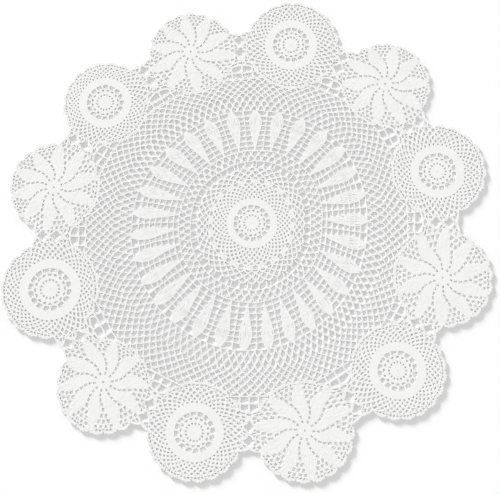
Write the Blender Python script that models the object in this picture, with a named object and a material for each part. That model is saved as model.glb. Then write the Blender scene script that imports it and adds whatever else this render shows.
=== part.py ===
"""A round crochet tablecloth that lies flat: a centre round with twelve joined medallions.

Metres, +Z up. The origin is on the underside, at the middle of the centre's rosette.
"""
import math
from collections import namedtuple

import bmesh
import bpy
from mathutils import Vector

# Thickness
SHEET = 0.0020  # open crochet
SOLID = 0.0028  # close treble stitches, measured from the underside
ROOT = 0.0010  # height inside the sheet at which the close stitches start
GAP = 0.0003  # between neighbouring pieces

# Ring of medallions
RING_MIDDLE = Vector((-0.0096, -0.0156))  # the rosette sits off the ring's middle
FIRST_BEARING = 76.77  # degrees, counter-clockwise from +X
BEARING_STEP = 30.0
MEAN_DISTANCE = 0.3668
MEDALLION_RADIUS = 0.0838

# One row for each medallion, counter-clockwise. bearing_off and turn are in degrees, the
# distance is from the ring's middle, size and core are factors on the rim's radius and on
# the radii of the pattern's heart, and the lean is how far that heart sits off the middle.
Medallion = namedtuple("Medallion", "name pattern bearing_off distance size core turn lean_x lean_y")
MEDALLIONS = (
    Medallion("wheel_1", "wheel", -0.2, 0.3692, 1.020, 1.030, 10.8, -0.0020, 0.0005),
    Medallion("pinwheel_1", "pinwheel", 0.1, 0.3582, 0.955, 0.985, 10.7, -0.0020, 0.0025),
    Medallion("wheel_2", "wheel", 0.3, 0.3583, 0.940, 1.020, 22.3, -0.0020, 0.0010),
    Medallion("pinwheel_2", "pinwheel", -0.1, 0.3618, 0.974, 1.000, 31.5, -0.0015, 0.0000),
    Medallion("wheel_3", "wheel", -0.2, 0.3685, 1.040, 1.150, 14.0, 0.0005, -0.0005),
    Medallion("pinwheel_3", "pinwheel", 0.9, 0.3742, 0.977, 1.000, 21.0, 0.0000, 0.0070),
    Medallion("wheel_4", "wheel", -0.9, 0.3651, 1.010, 1.055, 4.2, -0.0015, -0.0020),
    Medallion("pinwheel_4", "pinwheel", -1.0, 0.3679, 1.030, 1.010, 10.5, 0.0010, 0.0010),
    Medallion("wheel_5", "wheel", 0.0, 0.3656, 1.000, 1.055, 11.0, 0.0000, 0.0005),
    Medallion("pinwheel_5", "pinwheel", -0.2, 0.3623, 1.050, 1.030, 33.0, -0.0005, -0.0010),
    Medallion("wheel_6", "wheel", 1.3, 0.3705, 1.020, 1.045, 12.0, -0.0015, -0.0025),
    Medallion("pinwheel_6", "pinwheel", 0.4, 0.3825, 0.970, 1.000, 20.0, -0.0005, 0.0015),
)

# Scalloped rim of a medallion
SCALLOP_RISE = 0.0022  # tip above and valley below the radius
SCALLOP_SAMPLES = (-0.5, 0.0, 0.5)  # across one scallop, whose valleys are at -1 and 1
FREE_OUTER_TIPS = 9
FREE_INNER_TIPS = 5
JOIN_OFFSETS = (0.029, 0.0055, -0.0195)  # tips sewn to the neighbour, along the join line
JOIN_HALF_WIDTH = 0.0023
JOIN_REACH = 0.0108  # from the join line to the valley between two joined scallops
# The flank of a joined scallop towards another one: the share of the way along the join
# line from the joint's end to the valley, and the distance from that line.
FlankPoint = namedtuple("FlankPoint", "run reach")
JOIN_FLANK = (FlankPoint(0.10, 0.0024), FlankPoint(0.52, 0.0040), FlankPoint(0.66, 0.0068))
# How far its flank towards a free scallop bulges, on the cloth's edge and in the wedge
OUTER_BULGE = 0.0025
INNER_BULGE = 0.0045

# Rosette, in the middle of the centre and of each wheel
ROSETTE_HOLES = 16
ROSETTE_TURN = 4.95
ROSETTE_DISC = 0.0212
ROSETTE_HOLE_RADIUS = 0.0303
ROSETTE_HOLE_SIZE = (0.0062, 0.0092)  # along the radius, across it
ROSETTE_RING = (0.0340, 0.0465)  # inner and outer radius of the close ring

# Pinwheel petals
PETALS = 10
PETAL_ROOT = 0.0135
PETAL_SHOULDER = 0.0535
PETAL_TIP = 0.0780
PETAL_SAMPLES = 3  # points along one side of a petal
SLIT_WIDTH = 0.0030
SLIT_TWIST = 15.0  # degrees that a slit turns as it goes outward
TWIST_SPAN = (0.019, 0.055)  # radii between which it does
GROWTH_SPAN = (0.0465, 0.0800)  # radii between which a pattern grows from its core to its rim

# Leaf ring of the centre
LEAVES = 30
FIRST_LEAF = 4.0
# The half width of a leaf, and of the open ladder beside it, on each round's radius.
LeafRow = namedtuple("LeafRow", "radius half_width")
LEAF_ROWS = (
    LeafRow(0.1490, 0.0030),
    LeafRow(0.1720, 0.0080),
    LeafRow(0.1915, 0.0124),
    LeafRow(0.2065, 0.0104),
    LeafRow(0.2155, 0.0054),
)
LADDER_SPANS = ((0.1472, 0.1663), (0.1687, 0.1863), (0.1887, 0.2058), (0.2084, 0.2176))
LADDER_MARGIN = 0.0014  # between a ladder's opening and the leaf

# Where the centre's pattern slides from the rosette's middle to the ring's middle
SLIDE_START = 0.100
SLIDE_END = 0.367

# How the centre's rounds sway. At even bearings round the cloth: how far they turn, in
# degrees, and how far out of true they lie at each of the radii below.
Sway = namedtuple("Sway", "bearing turn net leaf wide loops")
SWAY_RADII = (0.046, 0.110, 0.165, 0.216, 0.250)
SWAY = (
    Sway(0, -1.0, -0.0095, -0.0090, -0.0060, -0.0050),
    Sway(24, 0.5, -0.0035, -0.0010, 0.0025, 0.0025),
    Sway(48, 0.0, 0.0025, 0.0050, 0.0100, 0.0110),
    Sway(72, -0.2, 0.0035, 0.0045, 0.0045, 0.0040),
    Sway(96, -0.7, 0.0000, -0.0005, 0.0010, 0.0000),
    Sway(120, -0.1, -0.0035, -0.0035, -0.0040, -0.0045),
    Sway(144, 0.8, -0.0020, -0.0045, -0.0060, -0.0065),
    Sway(168, 1.0, -0.0040, -0.0050, -0.0050, -0.0040),
    Sway(192, 0.3, -0.0015, -0.0020, -0.0020, -0.0020),
    Sway(216, -0.1, 0.0040, 0.0030, 0.0005, -0.0005),
    Sway(240, -0.5, 0.0060, 0.0060, 0.0030, 0.0020),
    Sway(264, -0.6, 0.0075, 0.0070, 0.0055, 0.0045),
    Sway(288, -1.6, 0.0050, 0.0050, 0.0030, 0.0025),
    Sway(312, -2.8, 0.0000, -0.0005, -0.0020, -0.0020),
    Sway(336, -2.7, -0.0045, -0.0055, -0.0055, -0.0040),
)
TURN_SPAN = (0.046, 0.150)  # radii between which the turn grows to its full amount
RIM_RADIUS = 0.300  # by here the rounds follow the medallions instead

# Openings of the wedge between two medallions: across the join line, along it, width, height
WedgeHole = namedtuple("WedgeHole", "across along width height")
WEDGE_HOLES = (
    WedgeHole(-0.0080, -0.0400, 0.0118, 0.0118),
    WedgeHole(0.0084, -0.0402, 0.0130, 0.0130),
    WedgeHole(-0.0086, -0.0545, 0.0140, 0.0110),
    WedgeHole(0.0086, -0.0545, 0.0140, 0.0110),
)
WEDGE_TOP = -0.0315  # along the join line
SEAM_POINTS = 9  # of the centre's edge round one medallion

OVAL_POINTS = 6
DISC_POINTS = 16
RING_POINTS = 24
WELD = 0.000005

CENTRE_COTTON = (0.86, 0.86, 0.85)
WHEEL_COTTON = (0.87, 0.87, 0.86)
PINWHEEL_COTTON = (0.88, 0.88, 0.87)
COTTON_ROUGHNESS = 0.9


def polar(radius, degrees):
    """The point at a radius and an angle."""
    angle = math.radians(degrees)
    return Vector((radius * math.cos(angle), radius * math.sin(angle)))


def bearing(vector):
    """The angle of a vector, in degrees."""
    return math.degrees(math.atan2(vector.y, vector.x))


def ease(value, start, end):
    """0 before start, 1 after end and smooth between them."""
    share = min(max((value - start) / (end - start), 0.0), 1.0)
    return share * share * (3.0 - 2.0 * share)


def circle(middle, radius, count, turn=0.0):
    """Evenly spaced points of a circle."""
    return [middle + polar(radius, turn + 360.0 * i / count) for i in range(count)]


def oval(middle, outward, length, width):
    """A six-cornered opening: length along the outward direction, width across it."""
    points = []
    for i in range(OVAL_POINTS):
        angle = 2.0 * math.pi * i / OVAL_POINTS
        along = outward * (math.sin(angle) * 0.5 * length / math.sin(math.pi / 3.0))
        across = Vector((outward.y, -outward.x)) * (math.cos(angle) * 0.5 * width)
        points.append(middle + along + across)
    return points


def medallion_middle(index):
    """The middle of a medallion's outline."""
    row = MEDALLIONS[index % len(MEDALLIONS)]
    angle = FIRST_BEARING + BEARING_STEP * (index % len(MEDALLIONS)) + row.bearing_off
    return RING_MIDDLE + polar(row.distance, angle)


def medallion_radius(index):
    """The mean radius of a medallion's rim."""
    return MEDALLION_RADIUS * MEDALLIONS[index % len(MEDALLIONS)].size


def join_frame(index, side):
    """Where a medallion meets its neighbour: the meeting point, the direction to the
    neighbour and the direction along the join line, away from the cloth's middle."""
    here = medallion_middle(index)
    there = medallion_middle(index + side)
    across = (there - here).normalized()
    share = medallion_radius(index) / (medallion_radius(index) + medallion_radius(index + side))
    meeting = here.lerp(there, share)
    along = Vector((-across.y, across.x))
    if along.dot(meeting - RING_MIDDLE) < 0.0:
        along.negate()
    return meeting, across, along


def join_bearings(index, side):
    """The bearings of the joined tips on one side, outermost first."""
    middle = medallion_middle(index)
    meeting, across, along = join_frame(index, side)
    return [bearing(meeting + along * offset - middle) for offset in JOIN_OFFSETS]


def unwrapped(angle, start):
    """The angle moved by whole turns to lie just above start."""
    return start + (angle - start) % 360.0


def spread(start, end, count):
    """Angles evenly between start and end, both left out."""
    return [start + (end - start) * (i + 1) / (count + 1) for i in range(count)]


def tip_table(index):
    """Each scallop's bearing, counter-clockwise, with its join side and offset if joined."""
    last = join_bearings(index, -1)
    first = join_bearings(index, 1)
    start = last[0]
    tips = [(start, -1, JOIN_OFFSETS[0])]
    end = unwrapped(first[0], start)
    tips += [(angle, 0, 0.0) for angle in spread(start, end, FREE_OUTER_TIPS)]
    tips += [(unwrapped(a, start), 1, offset) for a, offset in zip(first, JOIN_OFFSETS)]
    inner_start = unwrapped(first[-1], start)
    inner_end = unwrapped(last[-1], start)
    tips += [(angle, 0, 0.0) for angle in spread(inner_start, inner_end, FREE_INNER_TIPS)]
    tips += [(unwrapped(last[2], start), -1, JOIN_OFFSETS[2])]
    tips += [(unwrapped(last[1], start), -1, JOIN_OFFSETS[1])]
    return sorted(tips)


def scallop_valley(index, here, there):
    """The valley between two neighbouring scallops of a rim."""
    if here[1] != 0 and here[1] == there[1]:
        meeting, across, along = join_frame(index, here[1])
        return meeting + along * ((here[2] + there[2]) / 2.0) - across * JOIN_REACH
    half_way = (here[0] + unwrapped(there[0], here[0])) / 2.0
    return medallion_middle(index) + polar(medallion_radius(index) - SCALLOP_RISE, half_way)


def joined_flank(index, tip, neighbour, end, valley):
    """The points between a joint's end and the valley beside it."""
    if neighbour[1] != tip[1]:
        bulge = OUTER_BULGE if tip[2] > 0.0 else INNER_BULGE
        return [valley.lerp(end, 0.5) + polar(bulge, tip[0])]
    meeting, across, along = join_frame(index, tip[1])
    run = (valley - end).dot(along)
    return [end + along * (run * row.run) - across * row.reach for row in JOIN_FLANK]


def medallion_outline(index):
    """The rim: rounded scallops, drawn out to the neighbours where they are joined."""
    middle = medallion_middle(index)
    radius = medallion_radius(index)
    tips = tip_table(index)
    points = []
    for i, (angle, side, offset) in enumerate(tips):
        last_tip, next_tip = tips[i - 1], tips[(i + 1) % len(tips)]
        valley = scallop_valley(index, last_tip, tips[i])
        next_valley = scallop_valley(index, tips[i], next_tip)
        points.append(valley)
        if side == 0:
            low = (unwrapped(last_tip[0], angle - 180.0) + angle) / 2.0
            high = (angle + unwrapped(next_tip[0], angle)) / 2.0
            for x in SCALLOP_SAMPLES:
                reach = radius + SCALLOP_RISE * (1.0 - 2.0 * x * x)
                at = angle + x * ((high - angle) if x > 0.0 else (angle - low))
                points.append(middle + polar(reach, at))
            continue
        meeting, across, along = join_frame(index, side)
        edge = meeting - across * (GAP / 2.0)
        ends = [edge + along * (offset + JOIN_HALF_WIDTH * s) for s in (-side, side)]
        # Counter-clockwise, the end nearer the last valley comes first.
        ends.sort(key=lambda end: unwrapped(bearing(end - middle), angle - 180.0))
        points += joined_flank(index, tips[i], last_tip, ends[0], valley)[::-1]
        points += ends
        points += joined_flank(index, tips[i], next_tip, ends[1], next_valley)
    return points


def rosette_holes(middle, size, turn):
    """The ring of large openings round a rosette's small disc."""
    openings = []
    for i in range(ROSETTE_HOLES):
        outward = polar(1.0, turn + 360.0 * i / ROSETTE_HOLES)
        length, width = ROSETTE_HOLE_SIZE
        place = middle + outward * (ROSETTE_HOLE_RADIUS * size)
        openings.append(oval(place, outward, length * size, width * size))
    return openings


def rosette_reliefs(middle, size):
    """The close stitches of a rosette: the disc, and the ring with its open middle."""
    inner, outer = ROSETTE_RING
    return [
        circle(middle, ROSETTE_DISC * size, DISC_POINTS),
        circle(middle, outer * size, RING_POINTS),
        circle(middle, inner * size, RING_POINTS),
    ]


def slit_bearing(radius, turn, number):
    """The bearing of a slit between two petals, which turns as it goes outward."""
    return turn + 360.0 * number / PETALS - SLIT_TWIST * (1.0 - ease(radius, *TWIST_SPAN))


def pattern_scale(row, radius):
    """The factor on a medallion's pattern at a radius."""
    return row.core + (row.size - row.core) * ease(radius, *GROWTH_SPAN)


def petal_relief(middle, row):
    """The close stitches of a pinwheel: one star of curved petals on a small disc."""
    step = (PETAL_SHOULDER - PETAL_ROOT) / PETAL_SAMPLES
    radii = [PETAL_ROOT + step * (i + 1) for i in range(PETAL_SAMPLES)]
    points = []

    def add(radius, angle):
        points.append(middle + polar(radius * pattern_scale(row, radius), angle))

    for number in range(PETALS):
        add(PETAL_ROOT, slit_bearing(PETAL_ROOT, row.turn, number))
        for radius in radii:
            half_slit = math.degrees(SLIT_WIDTH / 2.0 / radius)
            add(radius, slit_bearing(radius, row.turn, number) + half_slit)
        add(PETAL_TIP, slit_bearing(PETAL_TIP, row.turn, number + 0.5))
        for radius in reversed(radii):
            half_slit = math.degrees(SLIT_WIDTH / 2.0 / radius)
            add(radius, slit_bearing(radius, row.turn, number + 1) - half_slit)
    return points


def ring_reach(degrees):
    """How far the medallions stand off in this direction, as a share of the mean."""
    place = (degrees - FIRST_BEARING) / BEARING_STEP
    index = math.floor(place)
    here = MEDALLIONS[index % len(MEDALLIONS)].distance
    there = MEDALLIONS[(index + 1) % len(MEDALLIONS)].distance
    return (here + (there - here) * ease(place, index, index + 1)) / MEAN_DISTANCE


def swayed(degrees, column):
    """A smooth curve through one column of the sway table, all the way round."""
    place = degrees / 360.0 * len(SWAY)
    index = math.floor(place)
    t = place - index
    a, b, c, d = [SWAY[(index + step) % len(SWAY)][column] for step in (-1, 0, 1, 2)]
    bend = 2.0 * a - 5.0 * b + 4.0 * c - d + t * (3.0 * (b - c) + d - a)
    return b + 0.5 * t * (c - a + t * bend)


def out_of_true(radius, degrees):
    """How far outside its nominal radius a round lies at this bearing."""
    sways = [0.0] + [swayed(degrees, column) for column in range(2, len(Sway._fields))]
    sways.append((ring_reach(degrees) - 1.0) * RIM_RADIUS)
    radii = [*SWAY_RADII, RIM_RADIUS]
    for low, high, here, there in zip(radii, radii[1:], sways, sways[1:]):
        if radius <= high:
            return here + (there - here) * max(radius - low, 0.0) / (high - low)
    return sways[-1]


def cloth_point(radius, degrees):
    """A place on the centre's pattern, by its radius and bearing there."""
    turned = degrees + swayed(degrees, 1) * ease(radius, *TURN_SPAN)
    reach = radius + out_of_true(radius, degrees)
    return RING_MIDDLE * ease(radius, SLIDE_START, SLIDE_END) + polar(reach, turned)


def leaf_half_width(radius):
    """A leaf's half width at a radius, between the rows of its table."""
    for low, high in zip(LEAF_ROWS, LEAF_ROWS[1:]):
        if radius <= high.radius:
            share = max(radius - low.radius, 0.0) / (high.radius - low.radius)
            return low.half_width + (high.half_width - low.half_width) * share
    return LEAF_ROWS[-1].half_width


def leaf_relief(number):
    """One pointed leaf of close stitches."""
    middle = FIRST_LEAF + 360.0 * number / LEAVES
    right = [cloth_point(r.radius, middle - math.degrees(r.half_width / r.radius)) for r in LEAF_ROWS]
    left = [cloth_point(r.radius, middle + math.degrees(r.half_width / r.radius)) for r in LEAF_ROWS]
    return right + left[::-1]


def ladder_holes(number):
    """The openings of the ladder between one leaf and the next."""
    leaf = FIRST_LEAF + 360.0 * number / LEAVES
    pitch = 360.0 / LEAVES
    openings = []
    for span in LADDER_SPANS:
        edges = []
        for radius in span:
            edge = math.degrees((leaf_half_width(radius) + LADDER_MARGIN) / radius)
            edges.append((radius, leaf + edge, leaf + pitch - edge))
        (inner, inner_low, inner_high), (outer, outer_low, outer_high) = edges
        openings.append([
            cloth_point(inner, inner_low),
            cloth_point(outer, outer_low),
            cloth_point(outer, outer_high),
            cloth_point(inner, inner_high),
        ])
    return openings


def wedge_holes(index):
    """The large openings where the centre fills the corner between two medallions."""
    meeting, across, along = join_frame(index, 1)
    openings = []
    for hole in WEDGE_HOLES:
        place = meeting + across * hole.across + along * hole.along
        openings.append(oval(place, along, hole.height, hole.width))
    return openings


def centre_outline():
    """The centre's edge: a hollow arc round each medallion and a point between them."""
    points = []
    for index in range(len(MEDALLIONS)):
        middle = medallion_middle(index)
        tips = tip_table(index)
        valleys = [(a[0] + b[0]) / 2.0 for a, b in zip(tips, tips[1:])]
        inner = [v for v in valleys if polar(1.0, v).dot(middle - RING_MIDDLE) < 0.0]
        toward_last = [v for v, tip in zip(valleys, tips) if tip[1] == 0 and v in inner][-1]
        toward_next = [v for v, tip in zip(valleys, tips) if tip[2] == JOIN_OFFSETS[2]][0]
        step = (toward_last - toward_next) / (SEAM_POINTS - 1)
        clear = medallion_radius(index) + SCALLOP_RISE + GAP
        radius = clear / math.cos(math.radians(step / 2.0))
        arc = [middle + polar(radius, toward_next + step * i) for i in range(SEAM_POINTS)]
        points += arc[::-1]
        meeting, across, along = join_frame(index, 1)
        points.append(meeting + along * WEDGE_TOP)
    return points


def flat_solid(name, outlines, low, high):
    """A flat solid between two heights, from its outline and the outlines inside it."""
    curve = bpy.data.curves.new(name, "CURVE")
    curve.dimensions = "2D"
    curve.fill_mode = "BOTH"
    curve.extrude = (high - low) / 2.0
    curve.render_resolution_u = 0
    for outline in outlines:
        spline = curve.splines.new("POLY")
        spline.points.add(len(outline) - 1)
        for point, place in zip(spline.points, outline):
            point.co = (place.x, place.y, 0.0, 1.0)
        spline.use_cyclic_u = True
    guide = bpy.data.objects.new(name + "_curve", curve)
    guide.location.z = (low + high) / 2.0
    bpy.context.scene.collection.objects.link(guide)
    bpy.context.view_layer.update()
    mesh = bpy.data.meshes.new_from_object(guide.evaluated_get(bpy.context.evaluated_depsgraph_get()))
    solid = bpy.data.objects.new(name, mesh)
    solid.matrix_world = guide.matrix_world.copy()
    bpy.data.objects.remove(guide)
    bpy.data.curves.remove(curve)
    weld(mesh)
    return solid


def weld(mesh):
    """Join the caps to the walls and turn every face outward."""
    shape = bmesh.new()
    shape.from_mesh(mesh)
    bmesh.ops.remove_doubles(shape, verts=shape.verts, dist=WELD)
    bmesh.ops.recalc_face_normals(shape, faces=shape.faces)
    shape.to_mesh(mesh)
    shape.free()


def cotton(name, colour):
    """Matt mercerised cotton."""
    material = bpy.data.materials.new(name)
    material.use_nodes = True
    shader = material.node_tree.nodes["Principled BSDF"]
    shader.inputs["Base Color"].default_value = (*colour, 1.0)
    shader.inputs["Roughness"].default_value = COTTON_ROUGHNESS
    shader.inputs["Metallic"].default_value = 0.0
    return material


def add_piece(name, outlines, reliefs, colour, pieces, guides):
    """A sheet of open crochet with its close stitches standing a little higher."""
    piece = flat_solid(name, outlines, 0.0, SHEET)
    piece.data.materials.append(cotton(name + "_cotton", colour))
    pieces.objects.link(piece)
    relief = flat_solid(name + "_close_stitches", reliefs, ROOT, SOLID)
    relief.hide_render = True
    relief.display_type = "WIRE"
    guides.objects.link(relief)
    union = piece.modifiers.new("close stitches", "BOOLEAN")
    union.operation = "UNION"
    union.solver = "EXACT"
    union.object = relief


def add_centre(pieces, guides):
    """The centre round: rosette, ring of leaves and the wedges between medallions."""
    middle = Vector((0.0, 0.0))
    outlines = [centre_outline()]
    outlines += rosette_holes(middle, 1.0, ROSETTE_TURN)
    reliefs = rosette_reliefs(middle, 1.0)
    for number in range(LEAVES):
        outlines += ladder_holes(number)
        reliefs.append(leaf_relief(number))
    for index in range(len(MEDALLIONS)):
        outlines += wedge_holes(index)
    add_piece("centre_round", outlines, reliefs, CENTRE_COTTON, pieces, guides)


def add_wheel(index, pieces, guides):
    """A medallion with a rosette like the centre's, in a plain net."""
    row = MEDALLIONS[index]
    middle = medallion_middle(index) + Vector((row.lean_x, row.lean_y))
    outlines = [medallion_outline(index)] + rosette_holes(middle, row.core, row.turn)
    reliefs = rosette_reliefs(middle, row.core)
    add_piece(row.name, outlines, reliefs, WHEEL_COTTON, pieces, guides)


def add_pinwheel(index, pieces, guides):
    """A medallion of curved petals."""
    row = MEDALLIONS[index]
    middle = medallion_middle(index) + Vector((row.lean_x, row.lean_y))
    reliefs = [petal_relief(middle, row)]
    outlines = [medallion_outline(index)]
    add_piece(row.name, outlines, reliefs, PINWHEEL_COTTON, pieces, guides)


def new_collection(name):
    """A collection in the scene."""
    collection = bpy.data.collections.new(name)
    bpy.context.scene.collection.children.link(collection)
    return collection


def main():
    for old in list(bpy.data.objects):
        bpy.data.objects.remove(old)
    pieces = new_collection("crochet_tablecloth")
    guides = new_collection("close_stitch_guides")
    add_centre(pieces, guides)
    for index, row in enumerate(MEDALLIONS):
        if row.pattern == "wheel":
            add_wheel(index, pieces, guides)
        else:
            add_pinwheel(index, pieces, guides)


main()
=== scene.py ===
import math
from collections import namedtuple

import bpy
import numpy as np
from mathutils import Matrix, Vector


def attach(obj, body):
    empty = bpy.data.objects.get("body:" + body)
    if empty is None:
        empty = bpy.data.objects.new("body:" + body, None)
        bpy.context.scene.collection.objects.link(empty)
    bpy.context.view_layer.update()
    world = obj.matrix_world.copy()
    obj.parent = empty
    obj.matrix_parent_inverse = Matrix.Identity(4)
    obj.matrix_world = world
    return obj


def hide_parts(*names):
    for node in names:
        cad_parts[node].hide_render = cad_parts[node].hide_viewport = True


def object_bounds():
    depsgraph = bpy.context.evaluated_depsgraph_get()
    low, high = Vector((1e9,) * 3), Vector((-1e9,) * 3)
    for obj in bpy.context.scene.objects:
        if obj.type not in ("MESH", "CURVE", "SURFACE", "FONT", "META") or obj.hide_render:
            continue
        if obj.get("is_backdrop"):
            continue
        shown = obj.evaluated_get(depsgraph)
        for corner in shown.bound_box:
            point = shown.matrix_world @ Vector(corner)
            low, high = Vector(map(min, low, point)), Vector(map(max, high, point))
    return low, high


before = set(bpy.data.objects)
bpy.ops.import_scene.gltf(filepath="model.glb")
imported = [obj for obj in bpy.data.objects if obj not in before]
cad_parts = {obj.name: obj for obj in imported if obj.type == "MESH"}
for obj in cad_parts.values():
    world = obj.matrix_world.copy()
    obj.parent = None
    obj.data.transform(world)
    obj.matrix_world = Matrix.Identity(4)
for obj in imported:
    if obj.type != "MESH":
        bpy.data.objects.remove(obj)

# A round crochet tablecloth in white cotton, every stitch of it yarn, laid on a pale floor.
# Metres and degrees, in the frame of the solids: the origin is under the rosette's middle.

SOLID_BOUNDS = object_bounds()

# Ring of medallions, as in the solids. Each stands a little off its even bearing, at its own
# distance from the ring's middle. The sizes of its rim and of its core are shares of the mean.
# Its pattern turns, and its core leans off its middle.
RING_MIDDLE = np.array((-0.0096, -0.0156))
FIRST_BEARING = 76.77
BEARING_STEP = 30.0
MEAN_DISTANCE = 0.3668
MEDALLION_RADIUS = 0.0838
Medallion = namedtuple(
    "Medallion", "name pattern bearing_off distance size core turn lean_x lean_y"
)
MEDALLIONS = (
    Medallion("wheel_1", "wheel", -0.2, 0.3692, 1.020, 1.030, 10.8, -0.0020, 0.0005),
    Medallion("pinwheel_1", "pinwheel", 0.1, 0.3582, 0.955, 0.985, 10.7, -0.0020, 0.0025),
    Medallion("wheel_2", "wheel", 0.3, 0.3583, 0.940, 1.020, 22.3, -0.0020, 0.0010),
    Medallion("pinwheel_2", "pinwheel", -0.1, 0.3618, 0.974, 1.000, 31.5, -0.0015, 0.0000),
    Medallion("wheel_3", "wheel", -0.2, 0.3685, 1.040, 1.150, 14.0, 0.0005, -0.0005),
    Medallion("pinwheel_3", "pinwheel", 0.9, 0.3742, 0.977, 1.000, 21.0, 0.0000, 0.0070),
    Medallion("wheel_4", "wheel", -0.9, 0.3651, 1.010, 1.055, 4.2, -0.0015, -0.0020),
    Medallion("pinwheel_4", "pinwheel", -1.0, 0.3679, 1.030, 1.010, 10.5, 0.0010, 0.0010),
    Medallion("wheel_5", "wheel", 0.0, 0.3656, 1.000, 1.055, 11.0, 0.0000, 0.0005),
    Medallion("pinwheel_5", "pinwheel", -0.2, 0.3623, 1.050, 1.030, 33.0, -0.0005, -0.0010),
    Medallion("wheel_6", "wheel", 1.3, 0.3705, 1.020, 1.045, 12.0, -0.0015, -0.0025),
    Medallion("pinwheel_6", "pinwheel", 0.4, 0.3825, 0.970, 1.000, 20.0, -0.0005, 0.0015),
)
CORE_RADIUS = 0.046  # inside it, every pattern lies true

# How the centre's rounds sway, at even bearings from +X counter-clockwise: how far they turn,
# and how far outward they lie at each of the radii below after the first
Sway = namedtuple("Sway", "turn net leaf wide loops")
SWAY_RADII = (CORE_RADIUS, 0.110, 0.165, 0.216, 0.250)  # the core doesn't sway
SWAY = (
    Sway(-1.0, -0.0095, -0.0090, -0.0060, -0.0050),
    Sway(0.5, -0.0035, -0.0010, 0.0025, 0.0025),
    Sway(0.0, 0.0025, 0.0050, 0.0100, 0.0110),
    Sway(-0.2, 0.0035, 0.0045, 0.0045, 0.0040),
    Sway(-0.7, 0.0000, -0.0005, 0.0010, 0.0000),
    Sway(-0.1, -0.0035, -0.0035, -0.0040, -0.0045),
    Sway(0.8, -0.0020, -0.0045, -0.0060, -0.0065),
    Sway(1.0, -0.0040, -0.0050, -0.0050, -0.0040),
    Sway(0.3, -0.0015, -0.0020, -0.0020, -0.0020),
    Sway(-0.1, 0.0040, 0.0030, 0.0005, -0.0005),
    Sway(-0.5, 0.0060, 0.0060, 0.0030, 0.0020),
    Sway(-0.6, 0.0075, 0.0070, 0.0055, 0.0045),
    Sway(-1.6, 0.0050, 0.0050, 0.0030, 0.0025),
    Sway(-2.8, 0.0000, -0.0005, -0.0020, -0.0020),
    Sway(-2.7, -0.0045, -0.0055, -0.0055, -0.0040),
)
RIM_RADIUS = 0.300  # by here the rounds follow the medallions instead
TURN_SPAN = (CORE_RADIUS, 0.150)  # radii over which the centre's rounds take up their turn
SLIDE_SPAN = (0.100, 0.367)  # and over which they slide to the middle of the ring

# Scalloped rims, as in the solids
SCALLOPS = 20
SCALLOP_RISE = 0.0022
FREE_OUTER_TIPS = 9
FREE_INNER_TIPS = 5
# A scallop's tip: its bearing, the side that it is joined on, 0 if none, and how far outward
# along the join line
Tip = namedtuple("Tip", "angle side offset")
JOIN_OFFSETS = (0.029, 0.0055, -0.0195)
JOIN_HALF_WIDTH = 0.0023
JOIN_REACH = 0.0108  # from the join line to the valley between two joined scallops
# A joined scallop's flank: the share of the way along the join line from the joint's end to
# the valley, and the distance from that line
FlankPoint = namedtuple("FlankPoint", "run reach")
JOIN_FLANK = (FlankPoint(0.10, 0.0024), FlankPoint(0.52, 0.0040), FlankPoint(0.66, 0.0068))
# How far its flank towards a free scallop bulges, on the cloth's edge and in the wedge
OUTER_BULGE = 0.0025
INNER_BULGE = 0.0045

# Yarn
CHAIN_WIDTH = 0.0029
NET_WIDTH = 0.0039  # of the finest nets' loops, which leave no room for knots
MIDDLE_WIDTH = 0.0034  # of the loops outside the clusters
NODE_SWELL = 0.16  # how much fuller a loop is at its feet and top, as a share
CHAIN_HEIGHT = 0.0020
CHAIN_STITCH = 0.0027
BEAD = 0.10  # how far a chain swells and narrows along each stitch, as a share
BEAD_POINTS = 3  # of a chain's path from one swelling to the next
POST_HEIGHT = 0.0020
EDGE_WIDTH = 0.0022
EDGE_PITCH = 0.00225  # between the points of a round cord
KNOT_WIDTH = 0.0028
KNOT_LENGTH = 0.0036
KNOT_HEIGHT = 0.0021
KNOT_STEP = 0.002  # outward from a loop's top, to find the way that its knot points
LOOP_POINTS = 9
CURVE_POINTS = 9  # from one given point of a smooth curve to the next
LIFT = 0.0001  # the most that a tube lies above its place
SHARP_EDGE = math.radians(45.0)
TINY = 1e-9  # keeps a division clear of 0

# A cord's section, in half widths across and half heights up
SectionPoint = namedtuple("SectionPoint", "across up")
CORD_SECTION = (
    SectionPoint(1.0, 0.0),
    SectionPoint(0.93, 1.0),
    SectionPoint(-0.93, 1.0),
    SectionPoint(-1.0, 0.0),
    SectionPoint(0.0, -1.0),
)

# How a stitch swells, as shares of its length and of its width
StitchPoint = namedtuple("StitchPoint", "along width")
POST_SHAPE = (
    StitchPoint(0.0, 0.92),
    StitchPoint(0.3, 1.0),
    StitchPoint(0.75, 1.0),
    StitchPoint(1.0, 1.06),
)
BAR_SHAPE = (
    StitchPoint(-0.15, 1.5),
    StitchPoint(0.12, 1.25),
    StitchPoint(0.5, 1.0),
    StitchPoint(0.88, 1.25),
    StitchPoint(1.15, 1.5),
)
KNOT_SHAPE = (
    StitchPoint(-0.5, 0.6),
    StitchPoint(-0.2, 1.0),
    StitchPoint(0.2, 1.0),
    StitchPoint(0.5, 0.6),
)

# Close stitches, worked side by side
CLOSE_HEIGHT = 0.0021
CLOSE_FOOT = 0.0004
GROOVE_SHARE = 0.99  # height of the groove between two stitches, as a share of theirs
LOOSE_GROOVE = 0.965  # the same between looser stitches
GROOVE_DRIFT = 0.10  # how much deeper than that such a groove lies at most, as a share
LOOSE_START = 0.047  # radius from which a pinwheel's stitches are looser
SHELL_HEIGHT = 0.00214  # of the scallops' fans, a little over the rounds below
COLUMNS = 2  # of points to a stitch
CLOSE_STITCH = 0.0028
ROW_SAMPLES = (0.0, 0.33, 0.67, 1.0)  # shares of a round's depth where its points lie
SEED = 7

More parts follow.
